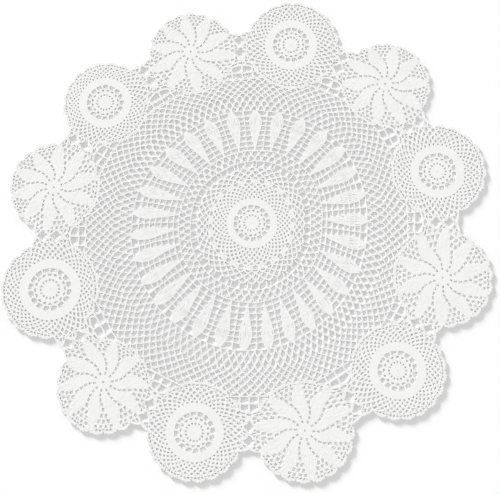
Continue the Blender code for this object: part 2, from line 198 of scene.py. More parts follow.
# Waves that slide the stitches: each runs along its bearing, and slides them by up to its
# amount in a direction that lies WAVE_SKEW past that bearing
WAVE_SKEW = 70.0
Wave = namedtuple("Wave", "length amount bearing phase")
UNEVENNESS = (
    Wave(0.095, 0.0003, 20.0, 0.3),
    Wave(0.070, 0.0003, 115.0, 1.9),
    Wave(0.033, 0.0003, 65.0, 4.0),
    Wave(0.024, 0.0002, 160.0, 2.2),
    Wave(0.013, 0.0002, 35.0, 5.1),
    Wave(0.011, 0.0002, 125.0, 0.7),
)

# Rosette: radii of its rounds
ROSETTE_TURN = 4.95
ROSETTE_DISC = (0.0003, 0.0123)
ROSETTE_BAND = (0.0160, 0.0211)
ROSETTE_CORD = 0.0255
ROSETTE_RING = (0.0333, 0.0465)
ROSETTE_COUNT = 16
ROSETTE_CORD_POINTS = 6  # to each of the cord's loops
SLIT_BAR = 0.0032  # widths of the bars between its holes, from the inside out
LOOP_BAR = 0.0044
RING_BAR = 0.0031
ROSETTE_CORD_WIDTH = 0.0027
ROSETTE_CORD_SWAY = 0.0011  # how far the loops' cord swings outward at the ring's posts
RING_POSTS = 96

# Rounds of loops: how many, where they start and end, and how square the loops are
NetRound = namedtuple("NetRound", "count low high curve")
WHEEL_NET = (
    NetRound(40, 0.0482, 0.0535, 2.4),
    NetRound(40, 0.0535, 0.0592, 1.7),
    NetRound(40, 0.0592, 0.0646, 1.7),
    NetRound(40, 0.0646, 0.0698, 1.7),
    NetRound(40, 0.0698, 0.0758, 1.9),
)
INNER_NET = (
    NetRound(40, 0.0458, 0.0525, 2.6),
    NetRound(40, 0.0525, 0.0572, 1.5),
    NetRound(40, 0.0572, 0.0620, 1.5),
    NetRound(40, 0.0620, 0.0665, 1.5),
    NetRound(40, 0.0665, 0.0715, 1.5),
    NetRound(40, 0.0715, 0.0755, 1.8),
)
# Loops that are filled with a cluster of stitches and left open in turn
CLUSTER_SPAN = (0.0750, 0.0815)
CLUSTER_LOOPS = 40
CLUSTER_WALL = 0.0040
CLUSTER_POST, CLUSTER_HEAD = 0.0030, 0.0034  # width of a cluster's stitch at foot and head
CLUSTER_SHIFTS = (-2.2, 0.0, 2.2)
CLUSTER_GATHER = 0.6  # how far in its stitches' feet stand, as a share of the shifts
MIDDLE_NET = (
    NetRound(40, 0.0815, 0.0868, 2.2),
    NetRound(40, 0.0868, 0.0925, 1.6),
    NetRound(40, 0.0925, 0.0985, 1.6),
    NetRound(40, 0.0985, 0.1040, 1.8),
)
# Uneven squares, two wide and one narrow in turn, then rounds of even arches
UNEVEN_SPAN = (0.1035, 0.1160)
UNEVEN_POSTS = (0.0, 7.2, 14.4)
UNEVEN_PERIOD = 18.0
ARCH_NET = (
    NetRound(60, 0.1160, 0.1270, 3.6),
    NetRound(60, 0.1270, 0.1370, 3.6),
)
OUTER_LOOPS = 112
OUTER_NET = (
    NetRound(OUTER_LOOPS, 0.2190, 0.2300, 2.8),
    NetRound(OUTER_LOOPS, 0.2300, 0.2412, 2.8),
    NetRound(OUTER_LOOPS, 0.2412, 0.2525, 2.8),
    NetRound(OUTER_LOOPS, 0.2525, 0.2588, 2.0),
    NetRound(OUTER_LOOPS, 0.2588, 0.2655, 1.9),
    NetRound(OUTER_LOOPS, 0.2655, 0.2728, 1.9),
    NetRound(OUTER_LOOPS, 0.2728, 0.2805, 1.9),
    NetRound(OUTER_LOOPS, 0.2805, 0.2880, 1.9),
    NetRound(OUTER_LOOPS, 0.2880, 0.2955, 1.9),
)

# Leaf ring
LEAVES = 30
FIRST_LEAF = 4.0
LEAF_ROUNDS = (0.1370, 0.1460, 0.1565, 0.1675, 0.1780, 0.1875, 0.1970, 0.2070, 0.2190)
LeafRow = namedtuple("LeafRow", "radius half_width")
LEAF_ROWS = (
    LeafRow(0.1440, 0.0016),
    LeafRow(0.1510, 0.0038),
    LeafRow(0.1610, 0.0058),
    LeafRow(0.1720, 0.0080),
    LeafRow(0.1820, 0.0102),
    LeafRow(0.1915, 0.0124),
    LeafRow(0.2015, 0.0120),
    LeafRow(0.2075, 0.0100),
    LeafRow(0.2140, 0.0060),
    LeafRow(0.2190, 0.0040),
)
LEAF_POST = 0.0029
LEAF_PITCH = 0.0029
LEAF_DRIFT = 0.0003  # the most that a leaf's post stands off its place
LADDER_POST = 0.0021
WIDE_POST = 0.0036

# Pinwheel: curved lines of small holes part the petals, and fork towards the rim. An offset
# is a hole's angle from its line.
PETALS = 10
PINWHEEL_EYE = 0.0018  # radius of the hole in its middle
SLIT_TWIST = 15.0  # how far a line of holes turns
TWIST_SPAN = (0.019, 0.055)  # radii between which it does
PierceRow = namedtuple("PierceRow", "radius height width offsets")
PIERCE_ROWS = (
    PierceRow(0.0153, 0.0043, 0.0034, (0.0,)),
    PierceRow(0.0232, 0.0049, 0.0032, (0.0,)),
    PierceRow(0.0318, 0.0054, 0.0035, (0.0,)),
    PierceRow(0.0396, 0.0054, 0.0039, (0.0,)),
    PierceRow(0.0483, 0.0060, 0.0043, (0.0,)),
    PierceRow(0.0578, 0.0056, 0.0046, (-3.9, 3.9)),
    PierceRow(0.0658, 0.0053, 0.0048, (-7.2, 0.0, 7.2)),
    PierceRow(0.0735, 0.0046, 0.0046, (-10.8, -3.6, 3.6, 10.8)),
)
PETAL_EDGE = 0.0772
PETAL_HEAD = 0.0797  # how far a petal's middle goes on between two free shells
PETAL_HEAD_HALF = 6.4  # degrees
PETAL_HEAD_MATCH = 0.1  # how far off a petal's middle its head may lie, as a share of it

# Scallop shells
SHELL_BASE = 0.0762
GROWTH_SPAN = (ROSETTE_RING[1], SHELL_BASE)  # where a pattern grows from its core to its rim
GRIP_SPAN = (CORE_RADIUS, SHELL_BASE)  # where it comes to follow the joined scallops
LEAN_SPAN = (CORE_RADIUS, 0.0842)  # where its core's lean fades
SLIP_SHARE = 0.5  # of the way that a joined tip slides round, its shell's foot slides too
SHELL_BASE_HALF = 0.0085  # half the width of a shell's foot
SHELL_BELOW = 0.0012  # how far inside the valleys a joined shell starts
JOINED_BASE = 0.0865  # where it starts at the outermost, at the mean size
SHELL_POSTS = 10
FAN_POSTS = 4
FAN_POST = 0.0026
FAN_SHARE = 0.58  # of a shell's height where its posts close up
FAN_LAP = 0.05  # how far the posts reach in under the close part, as a share
SHELL_INSET = 0.0016  # of the fans from the scallop's edge
RIM_INSET = 0.0011  # of the edge's chain
RIM_PITCH = 0.00135  # between the points of that chain
RIM_BUMPS = 4  # that a free scallop's stitches make along its edge
RIM_BUMP = 0.0011  # how far the edge swings in and out there

# Cords of the wedge between two medallions. A point is its share of the way from the join
# line to the medallion's rim, and its distance along the join line, outward.
WedgeCord = namedtuple("WedgeCord", "width points")
WEDGE_CORDS = (
    WedgeCord(0.0036, ((0.00, -0.0226), (-0.36, -0.0253), (-0.38, -0.0288), (0.00, -0.0323))),
    WedgeCord(0.0036, ((0.00, -0.0226), (0.36, -0.0253), (0.38, -0.0288), (0.00, -0.0323))),
    WedgeCord(
        0.0038,
        ((0.00, -0.0318), (-0.42, -0.0322), (-0.78, -0.0355), (-0.77, -0.0410), (-0.58, -0.0470)),
    ),
    WedgeCord(
        0.0036,
        ((0.00, -0.0318), (0.46, -0.0318), (0.84, -0.0355), (0.82, -0.0410), (0.64, -0.0470)),
    ),
    WedgeCord(0.0034, ((0.00, -0.0320), (-0.02, -0.0400), (0.00, -0.0475))),
    WedgeCord(
        0.0029,
        ((-1.04, -0.0466), (-0.50, -0.0471), (0.00, -0.0473), (0.50, -0.0471), (1.04, -0.0466)),
    ),
    WedgeCord(0.0030, ((-0.66, -0.0475), (-0.56, -0.0540), (-0.48, -0.0600))),
    WedgeCord(0.0026, ((0.00, -0.0475), (0.01, -0.0540), (0.00, -0.0600))),
    WedgeCord(0.0030, ((0.66, -0.0475), (0.56, -0.0540), (0.48, -0.0600))),
    WedgeCord(
        0.0026,
        ((-1.03, -0.0602), (-0.45, -0.0598), (0.00, -0.0598), (0.45, -0.0598), (1.03, -0.0602)),
    ),
)
NET_LIMIT = -0.0015  # from a medallion's mean rim to the outer net's cords, which lie on it

# Cotton
COTTON_TONE = (0.862, 0.862, 0.857)
BLOTCH_TONE = 0.975  # of a blotch, as a share of the cotton's
BLOTCH_SPAN = (0.3, 0.7)  # of the noise, over which a blotch fades into the cotton
BLOTCH_SCALE, BLOTCH_DETAIL = 45.0, 3.0
FIBRE_SCALE, FIBRE_DETAIL = 2600.0, 2.0
PLY_PITCH = 0.0016
PLY_STARTS = 2
PLY_RELIEF = 0.5  # of the plies, as a share of the fibres'
BUMP_STRENGTH, BUMP_DEPTH = 0.07, 0.00025
COTTON_SHADER = {
    "Roughness": 0.85,
    "Specular IOR Level": 0.25,
    "Sheen Weight": 0.15,
    "Sheen Roughness": 0.5,
}

# Camera, from the photo's framing
IMAGE_WIDTH = 500
CAMERA_AIM = Vector((-0.0037, -0.04385, 0.0))
CAMERA_DISTANCE = 1.5
CAMERA_TILT = math.radians(10.0)
FOCAL_PIXELS = 827.8
SENSOR = 36.0  # millimetres

# Light: a white sky that is brighter near the horizon, and a soft low sun from the upper
# left. The shares are of the light on the open floor.
SKY_SHARE = 0.56
BAND_SHARE = 0.10
BAND_TOP = (0.06, 0.42)  # sines of the heights between which the horizon's band fades
SUN_SHARE = 0.34
SUN_HEIGHT = math.radians(8.2)
SUN_SOFTNESS = math.radians(6.5)
SUN_TRAVEL = 307.0  # bearing in which its light travels
SKY_SAMPLES = 1001  # heights over which the band's light on the floor is averaged
FLOOR_WHITE = 0.95
FLOOR_SIZE = 6.0

UP = np.array((0.0, 0.0, 1.0))
draws = np.random.default_rng(SEED)


def polar(radius, degrees):
    """Points at radii and angles."""
    angle = np.radians(degrees)
    return np.stack(np.broadcast_arrays(radius * np.cos(angle), radius * np.sin(angle)), axis=-1)


def bearing(vector):
    """The angle of a vector, in degrees."""
    return math.degrees(math.atan2(vector[1], vector[0]))


def ease(value, start, end):
    """0 before start, 1 after end and smooth between them."""
    share = np.clip((np.asarray(value) - start) / (end - start), 0.0, 1.0)
    return share * share * (3.0 - 2.0 * share)


def handmade(points):
    """Handwork's unevenness: every point slides a little, neighbours alike."""
    moved = np.array(points)
    for wave in UNEVENNESS:
        across = polar(1.0, wave.bearing)
        run = points @ across * (2.0 * math.pi / wave.length) + wave.phase
        moved += np.sin(run)[..., None] * wave.amount * polar(1.0, wave.bearing + WAVE_SKEW)
    return moved


def medallion_middle(index):
    """The middle of a medallion's outline."""
    row = MEDALLIONS[index % len(MEDALLIONS)]
    angle = FIRST_BEARING + BEARING_STEP * (index % len(MEDALLIONS)) + row.bearing_off
    return RING_MIDDLE + polar(row.distance, angle)


def medallion_radius(index):
    """The mean radius of a medallion's rim."""
    return MEDALLION_RADIUS * MEDALLIONS[index % len(MEDALLIONS)].size


def join_frame(index, side):
    """Where a medallion meets its neighbour: the meeting point, the direction to the
    neighbour and the direction along the join line, away from the cloth's middle."""
    here, there = medallion_middle(index), medallion_middle(index + side)
    across = (there - here) / np.linalg.norm(there - here)
    share = medallion_radius(index) / (medallion_radius(index) + medallion_radius(index + side))
    meeting = here + (there - here) * share
    along = np.array((-across[1], across[0]))
    if along @ (meeting - RING_MIDDLE) < 0.0:
        along = -along
    return meeting, across, along


def unwrapped(angle, start):
    """The angle moved by whole turns to lie just above start."""
    return start + (angle - start) % 360.0


def spread(start, end, count):
    """Angles evenly between start and end, both left out."""
    return [start + (end - start) * (i + 1) / (count + 1) for i in range(count)]


def tip_table(index):
    """A medallion's scallops, counter-clockwise."""
    joined = {}
    for side in (-1, 1):
        meeting, _, along = join_frame(index, side)
        middle = medallion_middle(index)
        joined[side] = [bearing(meeting + along * offset - middle) for offset in JOIN_OFFSETS]
    start = joined[-1][0]
    ends = [unwrapped(angle, start) for angle in joined[1]]
    back = [unwrapped(angle, start) for angle in joined[-1][1:]]
    tips = [Tip(start, -1, JOIN_OFFSETS[0])]
    tips += [Tip(angle, 0, 0.0) for angle in spread(start, ends[0], FREE_OUTER_TIPS)]
    tips += [Tip(angle, 1, offset) for angle, offset in zip(ends, JOIN_OFFSETS)]
    tips += [Tip(angle, 0, 0.0) for angle in spread(ends[-1], back[-1], FREE_INNER_TIPS)]
    tips += [Tip(angle, -1, offset) for angle, offset in zip(back, JOIN_OFFSETS[1:])]
    return sorted(tips)


def resampled(points, count):
    """Points evenly along a polyline."""
    points = np.array(points)
    steps = np.linalg.norm(np.diff(points, axis=0), axis=1)
    run = np.concatenate([[0.0], np.cumsum(steps)])
    wanted = np.linspace(0.0, run[-1], count)
    return np.stack([np.interp(wanted, run, column) for column in points.T], axis=1)


def rounded(points, count):
    """Points evenly along a smooth curve through the given ones."""
    points = np.array(points)
    padded = np.concatenate([[2 * points[0] - points[1]], points, [2 * points[-1] - points[-2]]])
    pieces = []
    share = np.linspace(0.0, 1.0, CURVE_POINTS)[:, None]
    for a, b, c, d in zip(padded, padded[1:], padded[2:], padded[3:]):
        bend = (c - a) * share + (2 * a - 5 * b + 4 * c - d) * share**2
        pieces.append(0.5 * (2 * b + bend + (3 * b - a - 3 * c + d) * share**3))
    return resampled(np.concatenate(pieces), count)


def scallop_valley(index, here, there):
    """The valley between two neighbouring scallops of a rim."""
    if here.side != 0 and here.side == there.side:
        meeting, across, along = join_frame(index, here.side)
        return meeting + along * ((here.offset + there.offset) / 2.0) - across * JOIN_REACH
    half_way = (here.angle + unwrapped(there.angle, here.angle)) / 2.0
    return medallion_middle(index) + polar(medallion_radius(index) - SCALLOP_RISE, half_way)


def joined_flank(index, tip, neighbour, end, valley):
    """Points between a joint's end and the valley beside it."""
    if neighbour.side != tip.side:
        bulge = OUTER_BULGE if tip.offset > 0.0 else INNER_BULGE
        return [(valley + end) / 2 + polar(bulge, tip.angle)]
    _, across, along = join_frame(index, tip.side)
    run = (valley - end) @ along
    return [end + along * run * row.run - across * row.reach for row in JOIN_FLANK]


def scallop_edges(index, samples):
    """Each scallop's rim from valley to valley, in the order of the tips."""
    middle, radius, tips = medallion_middle(index), medallion_radius(index), tip_table(index)
    edges = []
    for i, tip in enumerate(tips):
        angle = tip.angle
        last_tip, next_tip = tips[i - 1], tips[(i + 1) % len(tips)]
        if tip.side == 0:
            low = (unwrapped(last_tip.angle, angle - 180.0) + angle) / 2.0
            high = (angle + unwrapped(next_tip.angle, angle)) / 2.0
            share = np.linspace(-1.0, 1.0, samples)
            reach = radius + SCALLOP_RISE * (1.0 - 2.0 * share**2)
            at = angle + np.where(share > 0.0, share * (high - angle), share * (angle - low))
            edges.append(middle + polar(reach, at))
            continue
        meeting, _, along = join_frame(index, tip.side)
        ends = [meeting + along * (tip.offset + JOIN_HALF_WIDTH * s) for s in (-1, 1)]
        ends.sort(key=lambda end: unwrapped(bearing(end - middle), angle - 180.0))
        first = scallop_valley(index, last_tip, tip)
        last = scallop_valley(index, tip, next_tip)
        up = joined_flank(index, tip, last_tip, ends[0], first)
        down = joined_flank(index, tip, next_tip, ends[1], last)
        corners = [first, *up[::-1], *ends, *down, last]
        edges.append(rounded(corners, samples))
    return edges


def base_reach(index):
    """How far from a medallion's middle each scallop's shell starts."""
    middle = medallion_middle(index)
    reaches = []
    for tip in tip_table(index):
        reach = SHELL_BASE * MEDALLIONS[index].size
        if tip.side != 0:
            meeting, across, _ = join_frame(index, tip.side)
            stand_off = (meeting - middle) @ across
            lean = math.atan2(tip.offset, stand_off)
            reach = (stand_off - JOIN_REACH - SHELL_BELOW) / math.cos(lean)
            reach = min(reach, JOINED_BASE * MEDALLIONS[index].size)
        reaches.append(reach)
    return np.array(reaches)


class Yarn:
    """Gathers tubes of yarn and makes them one mesh."""

    def __init__(self):
        self.vertices, self.quads, self.quad_uvs, self.caps = [], [], [], []
        self.total = 0

    def skin(self, points, uvs, closed=False):
        """Faces round sections of points (tube, section, side), open or closed in a ring."""
        count, length, sides, _ = points.shape
        self.vertices.append(points.reshape(-1, 3))
        index = self.total + np.arange(count * length * sides).reshape(count, length, sides)
        here, there = (index, np.roll(index, -1, 1)) if closed else (index[:, :-1], index[:, 1:])
        quads = np.stack([here, np.roll(here, -1, 2), np.roll(there, -1, 2), there], axis=-1)
        self.quads.append(quads.reshape(-1, 4))
        corners = [uvs[:, :-1, :-1], uvs[:, :-1, 1:], uvs[:, 1:, 1:], uvs[:, 1:, :-1]]
        self.quad_uvs.append(np.stack(corners, axis=-2).reshape(-1, 4, 2))
        if not closed:
            self.caps += list(index[:, 0, ::-1]) + list(index[:, -1])
        self.total += count * length * sides

    def tubes(self, paths, width, height):
        """Sweep a flat-topped cord along each path of flat points, closed at both ends."""
        count, length, _ = paths.shape
        width = np.broadcast_to(width, (count, length))
        level = height / 2.0 + draws.uniform(0.0, LIFT, (count, 1))
        level = np.broadcast_to(level, (count, length))
        spine = np.concatenate([paths, level[..., None]], axis=-1)
        along = np.gradient(spine, axis=1)
        along /= np.linalg.norm(along, axis=-1, keepdims=True)
        across = np.cross(UP, along)
        across /= np.linalg.norm(across, axis=-1, keepdims=True)
        upward = np.cross(along, across)
        section = np.array(CORD_SECTION)
        ring = (
            across[:, :, None] * section[:, :1] * (width / 2.0)[..., None, None]
            + upward[:, :, None] * section[:, 1:] * (height / 2.0)
        )
        run = np.linalg.norm(np.diff(spine, axis=1), axis=-1).cumsum(axis=1)
        run = np.concatenate([np.zeros((count, 1)), run], axis=1)
        run += draws.uniform(0.0, 1.0, (count, 1))
        around = np.arange(len(section) + 1) / len(section)
        uvs = np.stack(np.broadcast_arrays(run[..., None], around), axis=-1)
        self.skin(spine[:, :, None] + ring, uvs)

    def patch(self, rows, closed=False, height=CLOSE_HEIGHT, groove=GROOVE_SHARE):
        """Close stitches side by side: a padded sheet, ribbed from stitch to stitch. Rows of
        flat points run counter-clockwise, from the innermost outward."""
        count, across = rows.shape[:2]
        depth = np.full(across, 1.0 - groove)
        if groove < GROOVE_SHARE:
            depth += draws.uniform(0.0, GROOVE_DRIFT, across)
        level = height * (1.0 - np.where(np.arange(across) % COLUMNS == 0, depth, 0.0))
        top = np.concatenate([rows, np.broadcast_to(level[:, None], (count, across, 1))], axis=-1)
        feet = np.concatenate([rows[[0, -1]], np.full((2, across, 1), CLOSE_FOOT)], axis=-1)
        section = np.concatenate([feet[:1], top, feet[1:]]).swapaxes(0, 1)
        outward = np.linalg.norm(np.diff(section[:, :, :2], axis=1), axis=-1).cumsum(axis=1)
        outward = np.concatenate([np.zeros((across, 1)), outward, outward[:, -1:]], axis=1)
        if closed:
            outward = np.concatenate([outward, outward[:1]])
        around = np.arange(len(outward))[:, None] / (2.0 * COLUMNS)
        uvs = np.stack(np.broadcast_arrays(outward, around), axis=-1)
        self.skin(section[None], uvs[None], closed)

    def chain(self, paths, width=CHAIN_WIDTH):
        """Cords of chain stitches, a little wider at each stitch."""
        swell = np.cos(2.0 * math.pi * np.arange(paths.shape[1]) / BEAD_POINTS)
        self.tubes(paths, width * (1.0 + BEAD * swell), CHAIN_HEIGHT)

    def posts(self, bottoms, tops, width, top_width=None):
        """Upright stitches, each from its foot to its head."""
        share, swell = np.array(POST_SHAPE).T
        paths = bottoms[:, None] + (tops - bottoms)[:, None] * share[:, None]
        head = width if top_width is None else top_width
        self.tubes(paths, (width + (head - width) * share) * swell, POST_HEIGHT)

    def knots(self, middles, directions):
        """Short stitches that hold a cord where it is worked into the round below."""
        share, swell = np.array(KNOT_SHAPE).T
        lengths = np.linalg.norm(directions, axis=-1, keepdims=True)
        steps = (directions / lengths)[:, None] * (share * KNOT_LENGTH)[:, None]
        self.tubes(middles[:, None] + steps, KNOT_WIDTH * swell, KNOT_HEIGHT)

    def build(self, name):
        """The mesh object of all the tubes."""
        vertices = np.concatenate(self.vertices)
        quads = np.concatenate(self.quads)
        sizes = np.concatenate([np.full(len(quads), 4), [len(cap) for cap in self.caps]])
        starts = np.concatenate([[0], sizes.cumsum()[:-1]])
        corners = np.concatenate([quads.ravel(), *self.caps])
        mesh = bpy.data.meshes.new(name)
        mesh.vertices.add(len(vertices))
        mesh.vertices.foreach_set("co", vertices.ravel().astype(np.float32))
        mesh.loops.add(len(corners))
        mesh.loops.foreach_set("vertex_index", corners.astype(np.int32))
        mesh.polygons.add(len(sizes))
        mesh.polygons.foreach_set("loop_start", starts.astype(np.int32))
        uvs = np.zeros((len(corners), 2))
        uvs[: quads.size] = np.concatenate(self.quad_uvs).reshape(-1, 2)
        layer = mesh.uv_layers.new(name="along_and_round")
        layer.data.foreach_set("uv", uvs.ravel().astype(np.float32))
        mesh.update(calc_edges=True)
        mesh.shade_smooth()
        mesh.set_sharp_from_angle(angle=SHARP_EDGE)
        piece = bpy.data.objects.new(name, mesh)
        bpy.context.scene.collection.objects.link(piece)
        return piece


def circle_cord(yarn, place, radius):
    """A round of stitch heads: one cord all the way round."""
    degrees = np.linspace(0.0, 360.0, int(2.0 * math.pi * radius / EDGE_PITCH))
    yarn.chain(place(radius, degrees)[None], EDGE_WIDTH)


def net_round(yarn, place, row, start, width, keep=None):
    """One round of chain loops, knotted at their tops, where the next round takes hold.
    The function keep bends the loops' paths and says which of them stay."""
    step = 360.0 / row.count
    share = np.linspace(0.0, 1.0, LOOP_POINTS)
    degrees = start + step * (np.arange(row.count)[:, None] + share)
    rise = 1.0 - np.abs(2.0 * share - 1.0) ** row.curve
    paths = place(row.low + (row.high - row.low) * rise, degrees)
    tops = start + step * (np.arange(row.count) + 0.5)
    middles = place(row.high, tops)
    outward = place(row.high + KNOT_STEP, tops) - middles
    if keep is not None:
        paths, kept = keep(paths)
        middles, outward = middles[kept], outward[kept]
    yarn.chain(paths, width * (1.0 + NODE_SWELL * np.cos(4.0 * math.pi * share)))
    if width < NET_WIDTH:
        yarn.knots(middles, outward)


def net(yarn, place, rows, start, width=CHAIN_WIDTH, keep=None):
    """Rounds of loops, each worked into the tops of the last. Returns the next start."""
    for row in rows:
        net_round(yarn, place, row, start, width, keep)
        start += 180.0 / row.count
    return start


def close_round(yarn, place, count, start, low, high, groove=GROOVE_SHARE):
    """A close round of upright stitches."""
    degrees = start + 360.0 / count * np.arange(COLUMNS * count) / COLUMNS
    rows = [place(low + (high - low) * share, degrees) for share in ROW_SAMPLES]
    yarn.patch(np.stack(rows), closed=True, groove=groove)


def close_part(yarn, place, low, high, low_ends, high_ends, groove=GROOVE_SHARE):
    """Part of a close round, between two angles at its foot and two at its head."""
    low_width = math.radians(low_ends[1] - low_ends[0]) * low
    high_width = math.radians(high_ends[1] - high_ends[0]) * high
    stitches = max(1, round((low_width + high_width) / 2.0 / CLOSE_STITCH))
    across = np.linspace(0.0, 1.0, COLUMNS * stitches + 1)
    rows = []
    for share in ROW_SAMPLES:
        first, last = (a + (b - a) * share for a, b in zip(low_ends, high_ends))
        rows.append(place(low + (high - low) * share, first + (last - first) * across))
    yarn.patch(np.stack(rows), groove=groove)


def bars(yarn, place, degrees, low, high, width):
    """Upright stitches that part the holes of a round, fuller where they take hold."""
    share, swell = np.array(BAR_SHAPE).T
    yarn.tubes(place(low + (high - low) * share, degrees[:, None]), width * swell, POST_HEIGHT)


def rosette(yarn, place, turn):
    """Disc, slits, two rounds of sixteen holes and a close ring."""
    half = 180.0 / ROSETTE_COUNT
    in_line = turn + 2 * half * np.arange(ROSETTE_COUNT)
    between = in_line + half
    close_round(yarn, place, ROSETTE_COUNT, turn, *ROSETTE_DISC)
    bars(yarn, place, in_line, ROSETTE_DISC[1], ROSETTE_BAND[0], SLIT_BAR)
    close_round(yarn, place, 2 * ROSETTE_COUNT, turn, *ROSETTE_BAND)
    bars(yarn, place, in_line, ROSETTE_BAND[1], ROSETTE_CORD, LOOP_BAR)
    degrees = turn + np.linspace(0.0, 360.0, ROSETTE_CORD_POINTS * ROSETTE_COUNT + 1)
    sway = ROSETTE_CORD_SWAY * np.cos(np.radians(ROSETTE_COUNT * (degrees - between[0])))
    yarn.chain(place(ROSETTE_CORD + sway, degrees)[None], ROSETTE_CORD_WIDTH)
    bars(yarn, place, between, ROSETTE_CORD, ROSETTE_RING[0], RING_BAR)
    close_round(yarn, place, RING_POSTS, turn, *ROSETTE_RING)


def slit_bearing(radius, turn, number):
    """The bearing of a slit between two petals, which turns as it goes outward."""
    return turn + 360.0 * number / PETALS - SLIT_TWIST * (1.0 - ease(radius, *TWIST_SPAN))


def pierced_round(yarn, place, turn, row, groove):
    """A close round with a few small holes in every petal."""
    low, high = row.radius - row.height / 2.0, row.radius + row.height / 2.0
    width = math.degrees(row.width / row.radius)
    for number in range(PETALS):
        edges = []
        for radius in (low, high):
            line = slit_bearing(radius, turn, number)
            middles = [line + offset for offset in row.offsets]
            edges.append([middle + width * side for middle in middles for side in (-0.5, 0.5)])
            edges[-1].append(middles[0] + 360.0 / PETALS - width / 2.0)
        for i in range(1, len(edges[0]), 2):
            ends = [(edge[i], edge[i + 1]) for edge in edges]
            close_part(yarn, place, low, high, *ends, groove=groove)


def pinwheel_face(yarn, place, turn):
    """Curved petals round a small eye, parted by lines of holes."""
    low = PINWHEEL_EYE
    for row in PIERCE_ROWS:
        high = row.radius - row.height / 2.0
        groove = LOOSE_GROOVE if row.radius > LOOSE_START else GROOVE_SHARE
        count = round(2.0 * math.pi * high / CLOSE_STITCH)
        close_round(yarn, place, count, turn, low, high, groove)
        pierced_round(yarn, place, turn, row, groove)
        low = row.radius + row.height / 2.0
    count = round(2.0 * math.pi * low / CLOSE_STITCH)
    close_round(yarn, place, count, turn, low, PETAL_EDGE, LOOSE_GROOVE)


def petal_heads(yarn, index, place, turn, tip_bearings):
    """The ends of the petals, close between two shells wherever no neighbour is joined."""
    free = [tip.side == 0 for tip in tip_table(index)]
    for i, tip in enumerate(tip_bearings):
        middle = tip + 180.0 / SCALLOPS
        share = (middle - turn) * PETALS / 360.0 % 1.0
        if free[i] and free[(i + 1) % SCALLOPS] and abs(share - 0.5) < PETAL_HEAD_MATCH:
            ends = (middle - PETAL_HEAD_HALF, middle + PETAL_HEAD_HALF)
            close_part(yarn, place, PETAL_EDGE, PETAL_HEAD, ends, ends, LOOSE_GROOVE)


def rim(yarn, index, place, tip_bearings):
    """Twenty fans of close stitches, edged with a chain."""
    edges = scallop_edges(index, COLUMNS * SHELL_POSTS + 1)
    half = math.degrees(SHELL_BASE_HALF / SHELL_BASE)
    ripple = RIM_BUMP * np.cos(2.0 * math.pi * RIM_BUMPS * np.linspace(0.0, 1.0, len(edges[0])))
    loops = []
    for edge, middle, tip in zip(edges, tip_bearings, tip_table(index)):
        run = np.gradient(edge, axis=0)
        inward = np.stack([-run[:, 1], run[:, 0]], axis=1)
        inward /= np.linalg.norm(run, axis=1, keepdims=True)
        if tip.side == 0:
            edge = edge + inward * ripple[:, None]
        feet = place(SHELL_BASE, middle + np.linspace(-half, half, len(edge)))
        tops = handmade(edge + inward * SHELL_INSET)
        mids = feet + (tops - feet) * FAN_SHARE
        rows = np.stack([mids + (tops - mids) * share for share in ROW_SAMPLES])
        yarn.patch(rows, height=SHELL_HEIGHT, groove=LOOSE_GROOVE)
        picked = np.linspace(1, len(edge) - 2, FAN_POSTS).round().astype(int)
        heads = mids + (mids - feet) * FAN_LAP
        yarn.posts(feet[picked], heads[picked], FAN_POST)
        loops.append(handmade(edge + inward * RIM_INSET))
    circle_cord(yarn, place, SHELL_BASE)
    outline = np.concatenate([*loops, loops[0][:1]])
    total = np.linalg.norm(np.diff(outline, axis=0), axis=1).sum()
    yarn.chain(resampled(outline, int(total / RIM_PITCH))[None], EDGE_WIDTH)


def medallion_place(index, tip_bearings):
    """How a medallion's pattern lies: its lean fades outward, and its rounds turn and
    spread so that the scallops meet the neighbours."""
    row = MEDALLIONS[index]
    middle, lean = medallion_middle(index), np.array((row.lean_x, row.lean_y))
    actual = np.array([tip.angle for tip in tip_table(index)])
    slip = actual - tip_bearings
    rim_scales = base_reach(index) / SHELL_BASE

    def place(radius, degrees):
        radius, degrees = np.broadcast_arrays(radius, degrees)
        slide = SLIP_SHARE * np.interp(degrees, tip_bearings, slip, period=360.0)
        turned = degrees + slide * ease(radius, *GRIP_SPAN)
        fade = 1.0 - ease(radius, *LEAN_SPAN)
        rim_scale = np.interp(degrees, tip_bearings, rim_scales, period=360.0)
        scale = row.core + (rim_scale - row.core) * ease(radius, *GROWTH_SPAN)
        return handmade(middle + lean * fade[..., None] + polar(radius * scale, turned))

    return place


def tip_bearings_near(index, phase):
    """The pattern's own even tip bearings, matched to the actual ones. A pattern that sets
    where its scallops lie gives its phase."""
    actual = np.array([tip.angle for tip in tip_table(index)])
    step = 360.0 / SCALLOPS
    even = step * np.arange(SCALLOPS)
    offset = (actual - even).mean()
    if phase is not None:
        offset = phase + round((offset - phase) / step) * step
    return even + offset


def ring_reach(degrees):
    """How far the medallions stand off in this direction, as a share of the mean."""
    place = (np.asarray(degrees) - FIRST_BEARING) / BEARING_STEP
    index = np.floor(place).astype(int)
    distance = np.array([row.distance for row in MEDALLIONS])
    here, there = distance[index % len(distance)], distance[(index + 1) % len(distance)]
    return (here + (there - here) * ease(place - index, 0.0, 1.0)) / MEAN_DISTANCE


def periodic(degrees, values):
    """A smooth curve through values at even bearings, all the way round."""
    place = degrees / (360.0 / len(values))
    index = np.floor(place).astype(int)
    share = place - index
    a, b, c, d = (values[(index + step) % len(values)] for step in (-1, 0, 1, 2))
    bend = 2 * a - 5 * b + 4 * c - d + share * (3 * (b - c) + d - a)
    return b + 0.5 * share * (c - a + share * bend)


